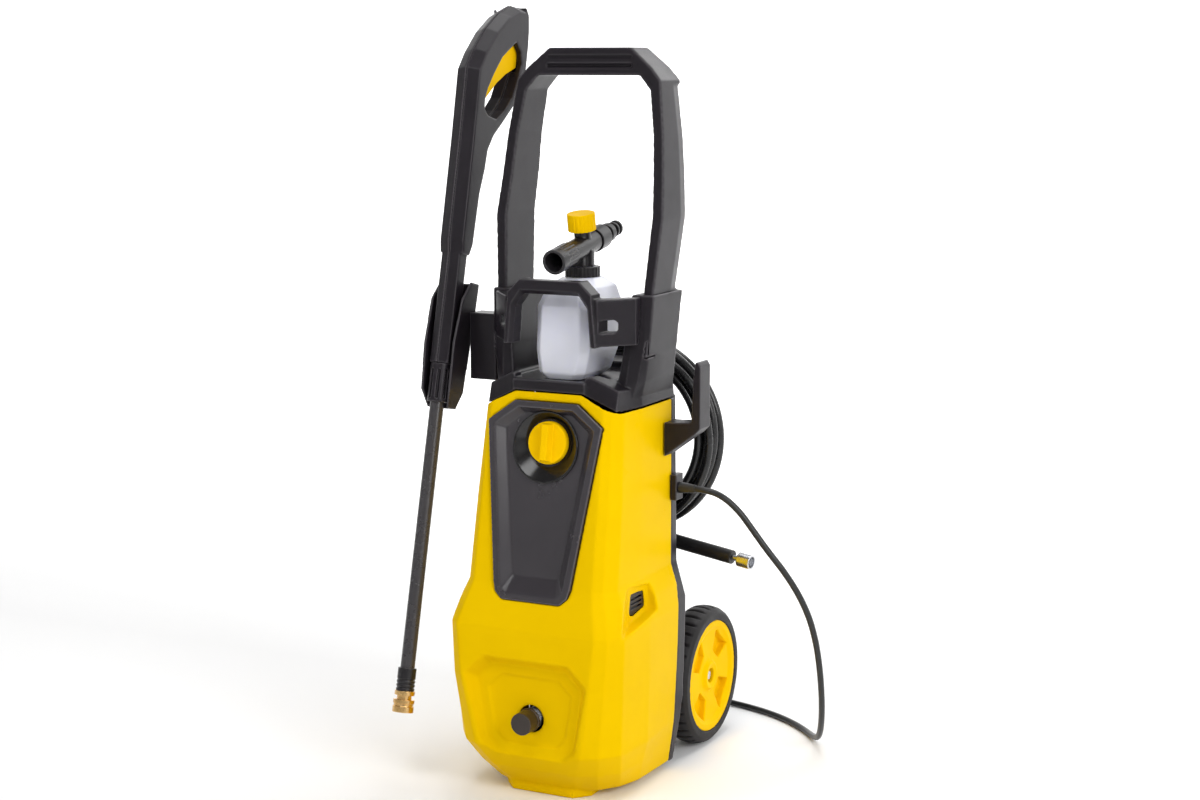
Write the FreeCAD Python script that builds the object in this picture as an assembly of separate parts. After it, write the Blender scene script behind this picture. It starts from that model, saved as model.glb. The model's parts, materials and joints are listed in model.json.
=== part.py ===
import FreeCAD, Part
import os
import math

V = FreeCAD.Vector
os.makedirs("parts", exist_ok=True)

# ---------------------------------------------------------------- sizes (mm)
SEAM_HIGH = 54.8          # Y of the joint between front and rear cover, upper body
SEAM_LOW = 49.8           # Y of the same joint beside the wheels
WALL = 2.6                # moulded wall
PANEL_TILT = 10.5         # lean of the front face, degrees
PANEL_ORG = (0.0, -119.0, 246.0)
WHEEL_R = 84.0
WHEEL_W = 36.0
WHEEL_OUT = 99.0          # outer face of the tyre from the middle plane
WHEEL_Y = 160.0
AXLE_R = 5.0
HANDLE_TOP = 837.0
GUN_X = -155.0
GUN_ORG = (GUN_X, -57.2, 442.1)
GUN_LEAN = 13.8           # lean of gun and lance, degrees
LANCE_R = 8.2
BOTTLE_Z = 458.6
CORD_D = 7.5
HOSE_D = 10.6
OUTLET_Z = 96.0
MOTOR_Y = 0.0
COIL_HANG = (-4.0, 137.0, 380.0)   # centre of the hanging hose coil
COIL_HANG_RO = 121.0
COIL_HANG_RI = 84.0
CORD_COIL = (-5.0, 268.0)          # centre of the mains lead coil on the floor
CORD_COIL_RO = 63.0
CORD_COIL_RI = 33.0
CORD_COIL_H = 30.0

SHAPES = {}


def put(name, shape):
    SHAPES[name] = shape.removeSplitter() if shape.ShapeType != "Compound" else shape
    return shape


def box(x0, x1, y0, y1, z0, z1):
    return Part.makeBox(x1 - x0, y1 - y0, z1 - z0, V(x0, y0, z0))


def cyl(r, p, d, h):
    return Part.makeCylinder(r, h, V(*p), V(*d))


def tube(ro, ri, p, d, h):
    return cyl(ro, p, d, h).cut(cyl(ri, p, d, h))


def wire(pts):
    return Part.makePolygon([V(*p) for p in pts] + [V(*pts[0])])


def prism_xz(pts, y0, y1):
    return Part.Face(wire([(x, y0, z) for x, z in pts])).extrude(V(0, y1 - y0, 0))


def prism_yz(pts, x0, x1):
    return Part.Face(wire([(x0, y, z) for y, z in pts])).extrude(V(x1 - x0, 0, 0))


def prism_xy(pts, z0, z1):
    return Part.Face(wire([(x, y, z0) for x, y in pts])).extrude(V(0, 0, z1 - z0))


def both(half):
    """closed outline from its right half, front to back"""
    return half + [(-x, y) for x, y in reversed(half)]


def loft_z(levels):
    return Part.makeLoft([wire([(x, y, z) for x, y in both(h)]) for z, h in levels], True, True)


def frustum(lo, hi):
    """solid between two outlines with the same number of points"""
    return Part.makeLoft([wire(lo), wire(hi)], True, True)


def fuse(*s):
    out = s[0]
    for t in s[1:]:
        out = out.fuse(t)
    return out


def mirror_x(s):
    return s.mirror(V(0, 0, 0), V(1, 0, 0))


def hexagon(af, x, y):
    r = af / math.sqrt(3)
    return [(x + r * math.cos(math.radians(60 * k)), y + r * math.sin(math.radians(60 * k))) for k in range(6)]


def place(shape, org, ex, ey, ez):
    m = FreeCAD.Matrix(ex[0], ey[0], ez[0], org[0], ex[1], ey[1], ez[1], org[1],
                       ex[2], ey[2], ez[2], org[2], 0, 0, 0, 1)
    s = shape.copy()
    s.Placement = FreeCAD.Placement(m)
    return s


# local frame of the control panel: u right, v up the face, n outward
_t = math.radians(PANEL_TILT)
P_EX, P_EY, P_EZ = (1, 0, 0), (0, math.sin(_t), math.cos(_t)), (0, -math.cos(_t), math.sin(_t))


def panel(shape):
    return place(shape, PANEL_ORG, P_EX, P_EY, P_EZ)


# local frame of gun and lance: x right, v towards the back, w up along the lance
_g = math.radians(GUN_LEAN)
G_EX, G_EY, G_EZ = (1, 0, 0), (0, math.cos(_g), -math.sin(_g)), (0, math.sin(_g), math.cos(_g))


def gun(shape):
    return place(shape, GUN_ORG, G_EX, G_EY, G_EZ)


# ------------------------------------------------------------ front cover
BODY = [
    (8, [(38, -92), (62, -80), (79, -57), (88, -26), (91, 60)]),
    (34, [(52, -116), (74, -104), (92, -82), (97, -36), (94, 60)]),
    (61, [(66, -133), (84, -123), (101, -100), (105, -40), (97, 60)]),
    (140, [(80, -140), (94, -130), (106, -106), (107.5, -40), (101, 60)]),
    (200, [(86, -138), (98, -128), (107, -104), (107.5, -40), (102.5, 60)]),
    (224, [(80, -129), (92, -119), (102, -97), (103, -40), (99, 60)]),
    (246, [(74, -119), (84, -111), (92.5, -92), (93.5, -40), (90.5, 60)]),
    (340, [(73, -101.6), (82, -94), (90, -76), (91.5, -30), (90.5, 60)]),
    (470, [(69, -77.5), (77, -71), (84.5, -58), (88.5, -20), (90, 60)]),
]


def inset(levels, t):
    out = []
    for z, h in levels:
        (a, ya), (b, yb), (w, yw), (m, ym), (r, yr) = h
        out.append((z, [(a - 0.4 * t, ya + t), (b - 0.75 * t, yb + 0.8 * t), (w - t, yw + 0.5 * t), (m - t, ym), (r - t, yr + 20)]))
    return out


outer = loft_z(BODY)
inner_levels = inset(BODY, WALL)
inner_levels[0] = (8 + WALL, inner_levels[0][1])
inner_levels.append((480, inner_levels[-1][1]))
inner = loft_z(inner_levels)
shell = outer.cut(inner)

# octagonal pocket round the high-pressure outlet
REC_M = [(-56, 170), (56, 170), (80, 147), (66, 60), (48, 42), (-48, 42), (-66, 60), (-80, 147)]
REC_F = [(-46, 157), (46, 157), (66, 138), (55, 69), (40, 54), (-40, 54), (-55, 69), (-66, 138)]
REC_2 = [(-36, 145), (36, 145), (53, 129), (45, 78), (33, 66), (-33, 66), (-45, 78), (-53, 129)]
pocket = frustum([(x * 1.03, -146, (z - 100) * 1.03 + 100) for x, z in REC_M], [(x, -126, z) for x, z in REC_F])
pocket = fuse(pocket, frustum([(x, -126.5, z) for x, z in REC_2], [(x * 0.97, -123.5, (z - 100) * 0.97 + 100) for x, z in REC_2]))
pocket_wall = frustum([(x * 1.07, -142, (z - 100) * 1.07 + 100) for x, z in REC_M], [(x * 1.07, -120.6, (z - 100) * 1.07 + 100) for x, z in REC_F])
shell = shell.fuse(pocket_wall.common(outer)).cut(pocket)
shell = shell.cut(cyl(15.0, (0, -140, OUTLET_Z), (0, 1, 0), 40))

# side air scoops
SCOOP_YZ = [(-124, 208), (-95, 238), (-66, 243), (-16, 238), (-13, 208), (-58, 202), (-104, 196)]
SCOOP_XY = [(118, -150), (111, -126), (92, -66), (92, -16), (104, -10), (118, -10)]
SCOOPW_YZ = [(-127, 206), (-97, 241), (-66, 246.5), (-13, 241), (-10, 205), (-58, 199), (-106, 193)]
SCOOPW_XY = [(118, -150), (107, -132), (89.2, -70), (89.2, -12), (104, -6), (118, -6)]
scoop = prism_yz(SCOOP_YZ, 60, 120).common(prism_xy(SCOOP_XY, 180, 260))
scoop_wall = prism_yz(SCOOPW_YZ, 60, 120).common(prism_xy(SCOOPW_XY, 180, 260)).common(outer)
vent_hole = prism_yz([(-60, 211), (-56, 233), (-24, 231), (-20, 213), (-50, 208)], 80, 100)
shell = shell.fuse(scoop_wall).fuse(mirror_x(scoop_wall))
shell = shell.cut(scoop).cut(mirror_x(scoop)).cut(vent_hole).cut(mirror_x(vent_hole))

# opening and seat of the control panel
PAN_O = [(-39, 206), (39, 206), (71, 182), (48, 2), (45, -9), (36, -17), (-36, -17), (-45, -9), (-48, 2), (-71, 182)]


def grow(pts, cx, cy, d):
    out = []
    for x, y in pts:
        r = math.hypot(x - cx, y - cy)
        out.append((x + (x - cx) / r * d, y + (y - cy) / r * d))
    return out


def plate(pts, n0, n1):
    return Part.Face(wire([(x, y, n0) for x, y in pts])).extrude(V(0, 0, n1 - n0))


seat_block = panel(plate(grow(PAN_O, 0, 95, 6.5), -13, 30)).common(outer)
shell = shell.fuse(seat_block)
shell = shell.cut(panel(plate(grow(PAN_O, 0, 95, 0.35), -8, 60)))
shell = shell.cut(panel(plate(grow(PAN_O, 0, 95, -7.5), -30, 10)))

# top edge, rear joint and foot lip
TOPCUT = [(-41, 459), (41, 459), (82, 439.5), (130, 439.5), (130, 620), (-130, 620), (-130, 439.5), (-82, 439.5)]
shell = shell.cut(prism_xz(TOPCUT, -200, 200))
SEAM = [(SEAM_LOW, -20), (SEAM_LOW, 205), (SEAM_HIGH, 246), (SEAM_HIGH, 700), (200, 700), (200, -20)]
shell = shell.cut(prism_yz(SEAM, -200, 200))
foot = prism_xy([(-38, -97), (38, -97), (54, -80), (54, 14), (-54, 14), (-54, -80)], 0.0, 9.0)
shell = shell.fuse(foot)
put("front_cover", shell)

# ------------------------------------------------------------ rear cover
# closed tub behind the front cover; slim between the wheels, with a flange
# that carries the side walls back to the front of each wheel
ro = fuse(
    Part.makeLoft([wire([(x, y, z) for x, y in both(h)]) for z, h in [
        (205, [(101.5, 40), (101, 72), (88, 84), (60, 108)]),
        (246, [(90.5, 40), (90, 70), (80, 88), (58, 110)]),
        (439.5, [(90, 40), (89, 66), (78, 90), (56, 110)]),
    ]], True, True),
    box(-58, 58, 40, 118, 8, 206),
    prism_yz([(96, 40), (178, 60), (178, 108), (140, 128), (96, 140)], -58, 58),
)
flange = Part.makeLoft([wire([(x, y, z) for x, y in [(50, 40), (w, 40), (w, yb), (50, yb)]]) for z, w, yb in [
    (8, 91.5, 60), (50, 96.3, 67), (84, 98.3, 73.0), (140, 100.6, 72.0), (206, 101.5, 72)]], True, True)
ro = fuse(ro, flange, mirror_x(flange))
ri = fuse(
    Part.makeLoft([wire([(x, y, z) for x, y in both(h)]) for z, h in [
        (200, [(98.5, 30), (98, 69.4), (86, 81), (58, 105.2)]),
        (246, [(87.7, 30), (87.2, 67.4), (78, 85.2), (56, 107.2)]),
        (436.8, [(87.2, 30), (86.2, 63.5), (76, 87), (54, 107.2)]),
    ]], True, True),
    box(-55.2, 55.2, 30, 115.2, 10.8, 206),
)
fl_in = Part.makeLoft([wire([(x, y, z) for x, y in [(54, 30), (w - 2.8, 30), (w - 2.8, yb - 2.8), (54, yb - 2.8)]]) for z, w, yb in [
    (10.8, 91.8, 60.2), (50, 96.3, 67), (84, 98.3, 73.0), (140, 100.6, 72.0), (206, 101.5, 72)]], True, True)
ri = fuse(ri, fl_in, mirror_x(fl_in))
rear = ro.cut(ri)
SEAM_R = [(SEAM_LOW, -20), (SEAM_LOW, 205), (SEAM_HIGH, 246), (SEAM_HIGH, 700), (-200, 700), (-200, -20)]
rear = rear.cut(prism_yz(SEAM_R, -200, 200))
rear = rear.cut(cyl(AXLE_R + 0.03, (-80, WHEEL_Y, WHEEL_R), (1, 0, 0), 160))
rear = rear.cut(cyl(13.4, (0, 90, 168), (0, 1, 0), 60))
# cooling slots in the back
for k in range(6):
    rear = rear.cut(box(-30, 30, 100, 130, 226 + 9 * k, 230.5 + 9 * k))
put("rear_cover", rear)

# black grilles behind the air scoops
vi = prism_yz([(-59.6, 211.4), (-55.7, 232.6), (-24.4, 230.6), (-20.4, 213.4), (-50, 208.5)], 84.5, 90.6)
for k in range(3):
    vi = vi.cut(box(80, 100, -55, -26, 215 + 5.2 * k, 217.4 + 5.2 * k))
put("vent_grilles", Part.makeCompound([vi, mirror_x(vi)]))

# ------------------------------------------------------------ control panel
PAN_R = [(-34, 199), (34, 199), (63, 178), (40.5, 3), (38, -5.5), (31, -10), (-31, -10), (-38, -5.5), (-40.5, 3), (-63, 178)]
PAN_F = [(-29, 193), (29, 193), (51, 175), (29.5, 16), (28.5, 12.5), (26, 11), (-26, 11), (-28.5, 12.5), (-29.5, 16), (-51, 175)]
KN = (1.0, 161.0)
RG = (0.0, 156.0)
body = plate(PAN_O, -7.9, 3.2).fuse(plate(grow(PAN_O, 0, 95, -8.0), -13.0, -7.0))
body = body.cut(frustum([(x, y, 3.3) for x, y in PAN_R], [(x, y, -6.5) for x, y in PAN_F]))
body = body.cut(Part.makeCylinder(37.2, 60, V(RG[0], RG[1], -40))).cut(Part.makeCylinder(40.6, 20, V(RG[0], RG[1], -6.5)))
put("control_panel", panel(body))
ring = Part.makeCylinder(37.0, 14.5, V(RG[0], RG[1], -18)).fuse(Part.makeCylinder(40.5, 3.0, V(RG[0], RG[1], -6.5)))
dish = Part.makeLoft([Part.Wire(Part.makeCircle(38.8, V(RG[0], RG[1], -3.4))), Part.Wire(Part.makeCircle(27.0, V(KN[0], KN[1], -13)))], True, True)
ring = ring.cut(dish).cut(Part.makeCylinder(5.0, 60, V(KN[0], KN[1], -40)))
put("dial_ring", panel(ring))
knob = Part.makeCone(24.5, 23.6, 7.0, V(KN[0], KN[1], -12.4))
grip = frustum([(KN[0] - 7, KN[1] - 21.5, -5.5), (KN[0] + 7, KN[1] - 21.5, -5.5), (KN[0] + 7, KN[1] + 21.5, -5.5), (KN[0] - 7, KN[1] + 21.5, -5.5)],
               [(KN[0] - 4, KN[1] - 20, 3.0), (KN[0] + 4, KN[1] - 20, 3.0), (KN[0] + 4, KN[1] + 20, 3.0), (KN[0] - 4, KN[1] + 20, 3.0)])
knob = knob.fuse(grip).fuse(Part.makeCylinder(4.0, 28.0, V(KN[0], KN[1], -39.0)))
put("switch_knob", panel(knob))
sw = plate([(KN[0] - 17, KN[1] - 20), (KN[0] + 17, KN[1] - 20), (KN[0] + 17, KN[1] + 20), (KN[0] - 17, KN[1] + 20)], -46, -19)
sw = sw.cut(Part.makeCylinder(4.06, 60, V(KN[0], KN[1], -39.4)))
put("rotary_switch", panel(sw))

# ------------------------------------------------------------ top casing
tc = prism_xz([(-88, 440), (-82, 440), (-41, 459.5), (41, 459.5), (82, 440), (88, 440), (88, 457), (84, 461.5), (50, 478), (-50, 478), (-84, 461.5), (-88, 457)], -84, 108)
# skirt that leans outward to its lower edge, with a sharp corner on each side
SK_LOW = [(45, -79.5), (80.5, -72.5), (87.5, -18), (88, 66), (76, 88), (54, 108)]
SK_HIGH = [(45, -77.0), (80.5, -65.0), (85.0, -18), (85.5, 66), (74, 86), (52, 106)]
def skirt(z):
    t = (z - 437.0) / 24.0
    return [(a + (c - a) * t, b + (d - b) * t) for (a, b), (c, d) in zip(SK_LOW, SK_HIGH)]
tc = tc.common(Part.makeLoft([wire([(x, y, z) for x, y in both(skirt(z))]) for z in (430, 486)], True, True))
tc = tc.cut(box(-44, 44, -90, -50, 472.2, 500))
# shields that rise to the handle sockets on each flank
shield = Part.makeLoft([wire([(x, y, z) for x, y in h]) for z, h in [
    (452, [(64, -42), (76, -46), (84, -38), (86.5, -18), (87.5, 62), (64, 62)]),
    (470, [(66, -38), (78, -42), (89, -35), (93, -24), (95, 50), (66, 50)]),
    (500, [(70, -34), (80, -36), (93, -31), (98.5, -26), (99.5, 46), (70, 46)]),
    (566, [(76, -24), (82, -24), (94, -22), (101.5, -20), (102.5, 55), (76, 55)])]], True, True)
tc = fuse(tc, shield, mirror_x(shield))
lip = box(-45, 45, -78.5, -72, 459.5, 472)
tc = tc.fuse(lip)
# well for the foam bottle, with its floor
BOTTLE_FOOT = BOTTLE_Z + 11.0
tc = tc.cut(Part.makeLoft([wire([(x, y, z) for x, y in [(-36, -66), (36, -66), (58, -44), (58, 56), (-58, 56), (-58, -44)]]) for z in [BOTTLE_Z - 0.4]] +
                          [wire([(x, y, z) for x, y in [(-38, -70), (38, -70), (66, -44), (66, 60), (-66, 60), (-66, -44)]]) for z in [520]], True, True))
tc = tc.fuse(prism_xy([(-60, -60), (60, -60), (60, 60), (-60, 60)], 456.0, BOTTLE_FOOT - 0.3))
# hollow underside
tc = tc.cut(prism_xy([(-56, -56), (56, -56), (62, -30), (62, 60), (-62, 60), (-62, -30)], 430, 450))
# sockets of the handle legs
sock = prism_yz([(-30, 496), (-16, 566.5), (51, 566.5), (43, 496)], 84, 97.6)
tc = tc.cut(sock).cut(mirror_x(sock))

# ------------------------------------------------------------ handle
HO = [(-97.2, 497), (-98.5, 566), (-105, 650), (-98, 740), (-90, 801), (-78, 815), (-52, HANDLE_TOP), (52, HANDLE_TOP), (78, 815), (90, 801), (98, 740), (105, 650), (98.5, 566), (97.2, 497)]
HI = [(84.7, 497), (86.5, 566), (92, 650), (85.5, 740), (78, 790), (64, 806), (-64, 806), (-78, 790), (-85.5, 740), (-92, 650), (-86.5, 566), (-84.7, 497)]
hb = prism_xz(HO + HI, -80, 140)
HS = [(-29.6, 496.5), (-17.5, 560), (-7, 645), (2, 690), (17, 790), (24, 838), (68, 838), (73, 800), (70, 700), (64, 645), (50, 560), (42.6, 496.5)]
hb = hb.common(prism_yz(HS, -130, 130))
for zc in (817, 827):
    hb = hb.cut(prism_yz([(0, zc - 2.2), (24.6, zc - 2.2), (24.6, zc + 2.2), (0, zc + 2.2)], -54, 54))
# rear part of each leg's outer side turns in behind a crease
for s in (1, -1):
    hb = hb.cut(Part.makeLoft([wire([(s * xo, yr - 21, z), (s * (xo + 8), yr - 21, z), (s * (xo + 8), yr + 4, z), (s * (xo - 4.4), yr + 4, z)]) for z, xo, yr in [
        (567, 98.6, 51.4), (600, 101.1, 57.4), (650, 105, 64.6), (700, 101.1, 70), (740, 98, 71.2), (796, 90.7, 72.9)]], True, True))
put("handle_loop", hb)
tc = tc.cut(hb)
put("top_casing", tc)

# ------------------------------------------------------------ bottle cradle
# arch in front of the foam bottle and two arms back to the handle legs
AO = [(-57.5, 511), (-52, 569), (-37.5, 583), (37.5, 583), (52, 569), (57.5, 511)]
AI = [(48, 511), (44.5, 553), (34, 567), (-34, 567), (-44.5, 553), (-48, 511)]
arch = prism_xz(AO + AI, -77, -54)
# narrow front frame with a bevel down into the arch
AB = [(52.5, 511), (48.5, 556), (36.5, 572.5), (-36.5, 572.5), (-48.5, 556), (-52.5, 511)]
bev = Part.makeLoft([wire([(x, y, z) for x, z in q]) for y, q in [(-77.6, AB), (-71.0, AI)]], True, True)
arch = arch.cut(bev).cut(box(-34, 34, -60.6, -40, 500, 600))
arm = prism_xy([(48.5, -72), (57.5, -73), (88, -38), (88, -27), (74, -29), (48.5, -58)], 512, 564)
arm = arm.cut(prism_xz([(58.5, 527), (71, 527), (73.5, 530), (73.5, 538), (71, 541), (58.5, 541)], -100, 0))
cr = fuse(arch, arm, mirror_x(arm))
put("bottle_cradle", cr.cut(tc).cut(hb))

# ------------------------------------------------------------ foam bottle
BY = -16.0
def rrect(hx, hy, cx, cy, c):
    return [(cx - hx + c, cy - hy), (cx + hx - c, cy - hy), (cx + hx, cy - hy + c), (cx + hx, cy + hy - c), (cx + hx - c, cy + hy), (cx - hx + c, cy + hy), (cx - hx, cy + hy - c), (cx - hx, cy - hy + c)]
def bl(levels, c0=8):
    return Part.makeLoft([wire([(x, y, z) for x, y in rrect(hx, hy, 0, cy, c)]) for z, hx, hy, cy, c in levels], True, True)
BL = [(BOTTLE_FOOT, 23, 36, -15, 9), (BOTTLE_FOOT + 7, 29, 42, -12.5, 9), (BOTTLE_Z + 42, 33.5, 46, -6, 9), (BOTTLE_Z + 92, 34.5, 49, 0, 11), (BOTTLE_Z + 112, 30, 42, 4, 14), (BOTTLE_Z + 122, 20, 24, 6, 12)]
BI = [(z + (1.6 if k == 0 else 0), hx - 1.6, hy - 1.6, cy, c) for k, (z, hx, hy, cy, c) in enumerate(BL)]
NECK_Y = 6.0
bot = bl(BL).fuse(cyl(15.0, (0, NECK_Y, BOTTLE_Z + 120), (0, 0, 1), 14))
BI[-1] = (BOTTLE_Z + 120.4,) + BI[-1][1:]
bot = bot.cut(bl(BI)).cut(cyl(13.2, (0, NECK_Y, BOTTLE_Z + 100), (0, 0, 1), 40))
put("foam_bottle", bot)
NZ = BOTTLE_Z + 134.0     # top of the neck
col = tube(20.0, 15.0, (0, NECK_Y, NZ - 11.8), (0, 0, 1), 11.8)
for k in range(24):
    a = 2 * math.pi * k / 24
    col = col.cut(cyl(1.2, (20.4 * math.cos(a), NECK_Y + 20.4 * math.sin(a), NZ - 14), (0, 0, 1), 15))
put("bottle_collar", col)

# foam head: barrel along the head axis, rising to the back
HA = math.radians(10.0)
H_EY = (0, math.cos(HA), math.sin(HA))
HC = (0.0, NECK_Y, NZ + 22.0)
def hp(s, dz=0.0):
    return (HC[0], HC[1] + s * math.cos(HA) - dz * math.sin(HA), HC[2] + s * math.sin(HA) + dz * math.cos(HA))
head = cyl(12.5, hp(-34), H_EY, 60)
head = fuse(head, cyl(9.0, hp(20), H_EY, 28), cyl(13.5, (0, NECK_Y, NZ + 0.2), (0, 0, 1), 18), box(-9, 9, NECK_Y - 16, NECK_Y + 12, NZ + 0.2, NZ + 14))
head = head.fuse(cyl(9.5, hp(2), (0, -math.sin(HA), math.cos(HA)), 17.5))
head = head.cut(cyl(3.2, (0, NECK_Y, NZ - 1), (0, 0, 1), 18)).cut(cyl(3.0, hp(-40), H_EY, 95))
head = head.cut(cyl(4.1, hp(2, 6), (0, -math.sin(HA), math.cos(HA)), 20))
put("foam_head", head)
noz = cyl(14.0, hp(-72), H_EY, 37.6)
for k in range(14):
    a = 2 * math.pi * k / 14
    c0 = hp(-58, 14.4 * math.sin(a))
    noz = noz.cut(cyl(1.3, (14.4 * math.cos(a), c0[1], c0[2]), H_EY, 25))
noz = noz.cut(Part.makeCone(11.0, 4.5, 26, V(*hp(-72.1)), V(*H_EY))).cut(cyl(4.5, hp(-50), H_EY, 20))
put("foam_nozzle", noz)
kn = cyl(16.0, hp(2, 18.2), (0, -math.sin(HA), math.cos(HA)), 20)
for k in range(20):
    a = 2 * math.pi * k / 20
    q = hp(2 + 16.6 * math.sin(a), 17)
    kn = kn.cut(cyl(1.3, (16.6 * math.cos(a), q[1], q[2]), (0, -math.sin(HA), math.cos(HA)), 20))
kn = kn.fuse(cyl(4.0, hp(2, 7), (0, -math.sin(HA), math.cos(HA)), 22))
put("foam_knob", kn)
ad = fuse(cyl(7.5, hp(48.2), H_EY, 10), cyl(11.0, hp(58), H_EY, 9), cyl(6.2, hp(66), H_EY, 22), cyl(9.0, hp(76), H_EY, 4), cyl(9.0, hp(84), H_EY, 4))
ad = ad.fuse(tube(14.0, 9.3, hp(27), H_EY, 22)).fuse(tube(9.6, 3.0, hp(48.2), H_EY, 6))
ad = ad.cut(cyl(3.0, hp(47), H_EY, 50))
put("foam_inlet_adapter", ad)

# ------------------------------------------------------------ gun
SPINE = [(-11.5, 30), (-11.5, 165), (-14.5, 178), (-16, 300), (-18.5, 380), (-7, 404), (14, 434), (40, 459), (64, 474), (80, 476)]
GO = [(-11.5, 37)] + SPINE[1:] + [(89, 468), (93, 450), (95, 432), (95.5, 400), (83, 364), (57, 334), (36, 311), (26, 292), (24, 268), (18, 238), (15.5, 178), (10.5, 165), (10, 37)]
GH = [(66, 430), (79, 421), (84, 408), (80, 392), (70, 364), (55, 345), (38, 331), (18, 331), (8, 337), (7, 348), (10, 360), (21, 381), (37, 405)]
def gpoly(pts, x0, x1):
    return Part.Face(wire([(x0, v, w) for v, w in pts])).extrude(V(x1 - x0, 0, 0))
GX = 15.5
gs = gpoly(GO, -GX, GX).cut(gpoly(GH, -40, 40))
# spine ridge: two facets fall away to the flanks all along the back
def unit(a, b):
    d = math.hypot(a, b)
    return (a / d, b / d)
ridge = []
for i, (v, w) in enumerate(SPINE):
    e = []
    if i > 0:
        e.append(unit(v - SPINE[i - 1][0], w - SPINE[i - 1][1]))
    if i < len(SPINE) - 1:
        e.append(unit(SPINE[i + 1][0] - v, SPINE[i + 1][1] - w))
    t = unit(sum(q[0] for q in e), sum(q[1] for q in e))
    ridge.append((v, w, -t[1], t[0]))
for s in (1, -1):
    gs = gs.cut(Part.makeLoft([wire([(s * 1.5, v, w), (s * 1.5, v + 4 * nv, w + 4 * nw), (s * 17, v + 4 * nv, w + 4 * nw), (s * 17, v - 7.2 * nv, w - 7.2 * nw)]) for v, w, nv, nw in ridge], True, True))
gs = gs.cut(box(12.2, 40, -60, 60, 0, 165)).cut(box(-40, -12.2, -60, 60, 0, 165))
cav = fuse(cyl(7.7, (0, 0, 60), (0, 0, 1), 252), cyl(7.2, (0, 0, 20), (0, 0, 1), 60))
# chamber of the trigger, opening into the finger loop
TRC = [(-6, 338), (2, 333), (13, 340), (20, 352), (52, 396), (87, 398), (86, 426), (76, 441), (60, 446), (40, 440), (12, 410), (-6, 376)]
cav = fuse(cav, gpoly(TRC, -8, 8))
gs = gs.cut(cav)
gs = gs.cut(Part.makeCylinder(7.6, 45, V(0, 62, 457), V(0, 1, 0)))
PIV = (6.0, 346.0)        # trigger pivot
gs = gs.cut(Part.makeCylinder(2.03, 50, V(-13.0, PIV[0], PIV[1]), V(1, 0, 0)).common(box(-13, 13, -60, 60, 0, 600)))
gs = gs.cut(Part.makeCylinder(3.1, 10, V(0, 18, 277), V(0, 1, 0)))
for v, w in [(4.0, 205.0), (58.0, 464.5), (90.0, 392.0), (12.0, 318.0)]:
    gs = gs.cut(cyl(2.6, (-GX - 1.1, v, w), (1, 0, 0), 3))
half_r = gs.common(box(0.05, 60, -200, 200, -100, 600))
half_l = gs.common(box(-60, -0.05, -200, 200, -100, 600))
put("gun_shell_right", gun(half_r))
put("gun_shell_left", gun(half_l))
TR = [(1, 340), (9, 339), (16, 347), (26, 357), (43, 375), (62, 390), (84.0, 403), (84.0, 420), (75, 430), (62, 428), (42, 415), (22, 391), (4, 358)]
tr = gpoly(TR, -7.2, 7.2)
tr = tr.fuse(Part.makeCylinder(2.0, 25.0, V(-12.5, PIV[0], PIV[1]), V(1, 0, 0)))
put("gun_trigger", gun(tr))
put("gun_valve_body", gun(cyl(7.6, (0, 0, 75), (0, 0, 1), 234).cut(cyl(3.0, (0, 0, 70), (0, 0, 1), 210)).cut(cyl(5.0, (0, 0, 285), (0, 0, 1), 30))))
inl = cyl(7.5, (0, 66, 457), (0, 1, 0), 24).cut(cyl(4.2, (0, 72, 457), (0, 1, 0), 30))
put("gun_hose_inlet", gun(inl))
put("gun_valve_plug", gun(cyl(3.0, (0, 18.2, 277), (0, 1, 0), 9.5).fuse(cyl(4.0, (0, 26.2, 277), (0, 1, 0), 3.0))))
scr = []
for v, w in [(4.0, 205.0), (58.0, 464.5), (90.0, 392.0), (12.0, 318.0)]:
    scr.append(gun(cyl(2.6, (-GX + 0.5, v, w), (1, 0, 0), 1.4)))
put("gun_screws", Part.makeCompound(scr))

# lance: bayonet connector, tube, tip collar and quick coupler
con = cyl(12.0, (0, 0, -8), (0, 0, 1), 44.5).fuse(cyl(7.0, (0, 0, 36), (0, 0, 1), 38.5))
for k in range(8):
    a = 2 * math.pi * (k + 0.5) / 8
    con = con.cut(place(box(-1.8, 1.8, 9.2, 14, -4, 30), (0, 0, 0), (math.cos(a), math.sin(a), 0), (-math.sin(a), math.cos(a), 0), (0, 0, 1)))
con = con.cut(cyl(3.0, (0, 0, -20), (0, 0, 1), 110)).cut(cyl(LANCE_R, (0, 0, -20), (0, 0, 1), 34))
put("lance_connector", gun(con))
put("lance_tube", gun(tube(LANCE_R, 3.0, (0, 0, -322), (0, 0, 1), 336)))
tipc = cyl(10.6, (0, 0, -340), (0, 0, 1), 19).cut(cyl(LANCE_R, (0, 0, -322), (0, 0, 1), 5)).cut(cyl(3.0, (0, 0, -345), (0, 0, 1), 40))
for k in range(3):
    tipc = tipc.cut(tube(12, 9.6, (0, 0, -337 + 4.4 * k), (0, 0, 1), 1.6))
tipc = tipc.fuse(tube(10.6, LANCE_R, (0, 0, -322), (0, 0, 1), 8))
put("lance_tip_collar", gun(tipc))
cb = cyl(8.4, (0, 0, -365), (0, 0, 1), 25).cut(cyl(5.7, (0, 0, -366), (0, 0, 1), 19)).cut(cyl(3.0, (0, 0, -360), (0, 0, 1), 40))
cb = cb.fuse(tube(11.6, 8.3, (0, 0, -345.2), (0, 0, 1), 5.0))
put("quick_coupler_body", gun(cb))
cc = tube(12.2, 8.7, (0, 0, -364.6), (0, 0, 1), 14.6)
cc = cc.cut(tube(14, 11.2, (0, 0, -357.6), (0, 0, 1), 3.0))
put("quick_coupler_collar", gun(cc))

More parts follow.
